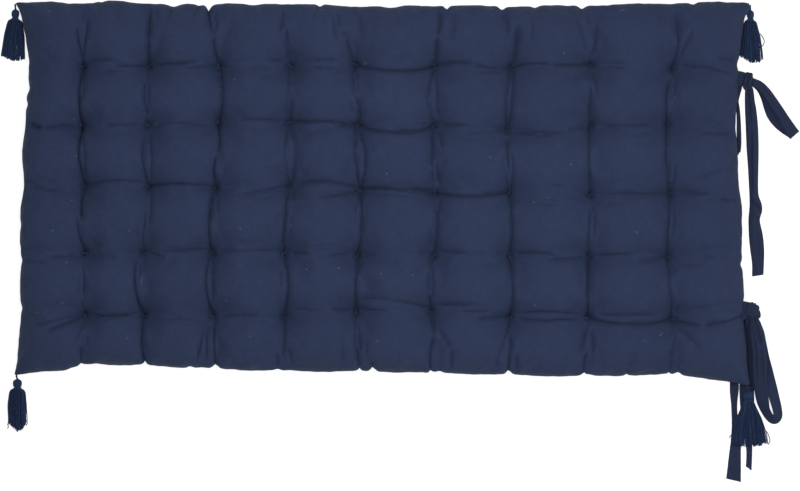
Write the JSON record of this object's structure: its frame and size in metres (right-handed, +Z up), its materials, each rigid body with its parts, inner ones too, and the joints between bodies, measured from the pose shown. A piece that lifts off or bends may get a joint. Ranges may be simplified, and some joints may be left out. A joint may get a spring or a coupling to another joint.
{
  "type": "floor mattress",
  "caption": "Tufted navy cotton floor mattress, stuffed and knife-edged, with a yarn tassel at each corner and cloth ties in bows on one short side; lies flat to sit or lie on.",
  "frame": {"origin": "on the floor under the middle of the mattress, on the flat underside", "axes": "+X along the mattress's length towards the ties, +Y across its width, +Z up out of the top face"},
  "size_m": [1.3374, 0.8023, 0.0598],
  "materials": {
    "cotton": "matt plain-weave cotton",
    "yarn": "matt twisted yarn"
  },
  "bodies": {
    "root": {"mattress": "cotton", "upper_bow_knot": "cotton", "upper_bow_loop": "cotton", "upper_bow_long_end": "cotton", "upper_bow_short_end": "cotton", "lower_bow_knot": "cotton", "lower_bow_loop": "cotton", "lower_bow_right_end": "cotton", "lower_bow_left_end": "cotton", "tassel_back_left": "yarn", "tassel_back_right": "yarn", "tassel_front_left": "yarn", "tassel_front_right": "yarn"}
  },
  "joints": []
}
